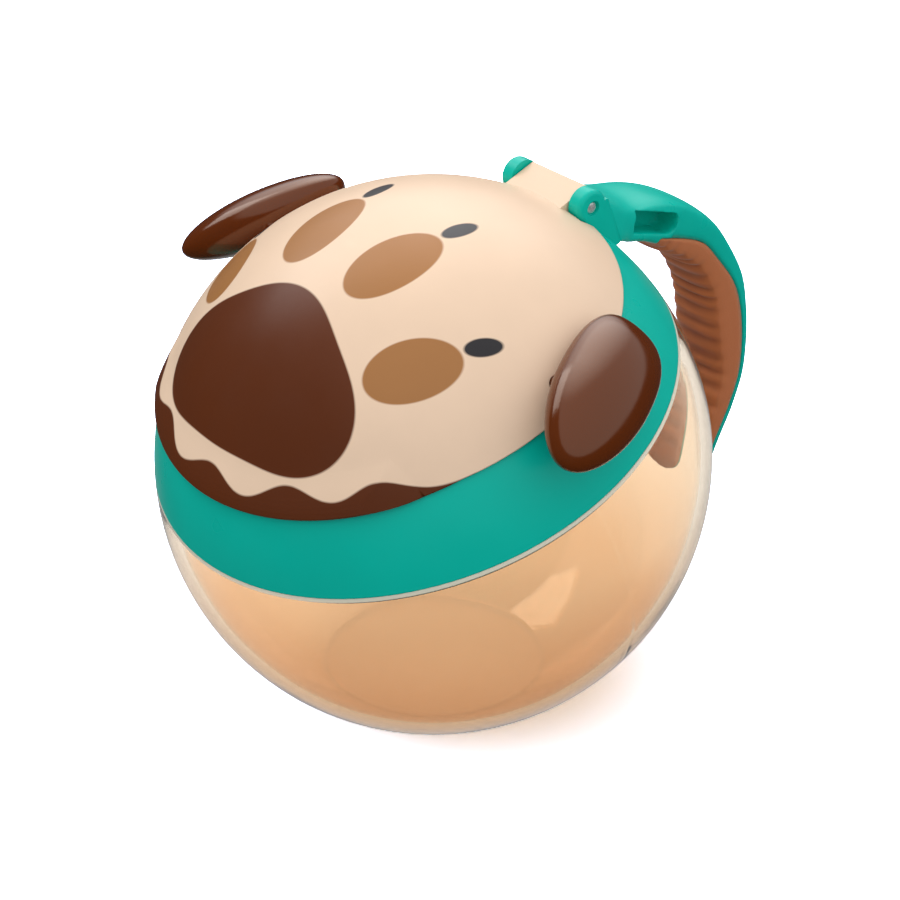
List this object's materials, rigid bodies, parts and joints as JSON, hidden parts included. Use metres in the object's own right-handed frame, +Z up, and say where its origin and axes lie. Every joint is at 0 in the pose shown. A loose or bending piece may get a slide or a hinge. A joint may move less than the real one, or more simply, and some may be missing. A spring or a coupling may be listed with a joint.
{
  "type": "toddler snack container",
  "caption": "Round clear snack bowl with a tilted collar, soft entry flaps, a hinged domed lid with drop ears and an open-ended ribbed carry handle.",
  "frame": {"origin": "centre of the flat foot, on the face that stands on the table", "axes": "+Z up, +Y towards the hinge and the handle, -Y towards the lid's front lip, X across"},
  "size_m": [0.1042, 0.1191, 0.0911],
  "materials": {
    "clear_bowl": "clear, lightly tinted, glossy",
    "teal_shell": "opaque, satin gloss",
    "soft_grip": "soft over-mould, matt",
    "steel_pin": "plain bright wire",
    "soft_insert": "soft, translucent, matt",
    "cream_lid": "opaque, satin gloss",
    "brown_ear": "opaque, glossy"
  },
  "bodies": {
    "bowl": {"bowl": "clear_bowl"},
    "collar": {"collar": "teal_shell", "handle": "teal_shell", "handle_grip": "soft_grip", "hinge_pin": "steel_pin", "flap_ring": "soft_insert"},
    "lid": {"lid": "cream_lid", "ear_left": "brown_ear", "ear_right": "brown_ear"},
    "flap_1": {"flap_1": "soft_insert"},
    "flap_2": {"flap_2": "soft_insert"},
    "flap_3": {"flap_3": "soft_insert"},
    "flap_4": {"flap_4": "soft_insert"},
    "flap_5": {"flap_5": "soft_insert"},
    "flap_6": {"flap_6": "soft_insert"}
  },
  "joints": [
    {"name": "collar_lift", "type": "slide", "parent": "bowl", "child": "collar", "axis": [0, -0.342, 0.9397], "range_m": [0, 0.03]},
    {"name": "lid_hinge", "type": "hinge", "parent": "collar", "child": "lid", "pos_m": [0, 0.02648, 0.08497], "axis": [-1, 0, 0], "range_deg": [0, 120]},
    {"name": "flap_1_bend", "type": "hinge", "parent": "collar", "child": "flap_1", "pos_m": [0, 0.01383, 0.07084], "axis": [1, 0, 0], "range_deg": [-60, 60], "stiffness_Nm_per_rad": 0.01},
    {"name": "flap_2_bend", "type": "hinge", "parent": "collar", "child": "flap_2", "pos_m": [-0.01947, 0.00326, 0.06699], "axis": [0.5, 0.8138, 0.2962], "range_deg": [-60, 60], "stiffness_Nm_per_rad": 0.01},
    {"name": "flap_3_bend", "type": "hinge", "parent": "collar", "child": "flap_3", "pos_m": [-0.01947, -0.01787, 0.0593], "axis": [-0.5, 0.8138, 0.2962], "range_deg": [-60, 60], "stiffness_Nm_per_rad": 0.01},
    {"name": "flap_4_bend", "type": "hinge", "parent": "collar", "child": "flap_4", "pos_m": [0, -0.02843, 0.05546], "axis": [-1, 0, 0], "range_deg": [-60, 60], "stiffness_Nm_per_rad": 0.01},
    {"name": "flap_5_bend", "type": "hinge", "parent": "collar", "child": "flap_5", "pos_m": [0.01947, -0.01787, 0.0593], "axis": [-0.5, -0.8138, -0.2962], "range_deg": [-60, 60], "stiffness_Nm_per_rad": 0.01},
    {"name": "flap_6_bend", "type": "hinge", "parent": "collar", "child": "flap_6", "pos_m": [0.01947, 0.00326, 0.06699], "axis": [0.5, -0.8138, -0.2962], "range_deg": [-60, 60], "stiffness_Nm_per_rad": 0.01}
  ]
}
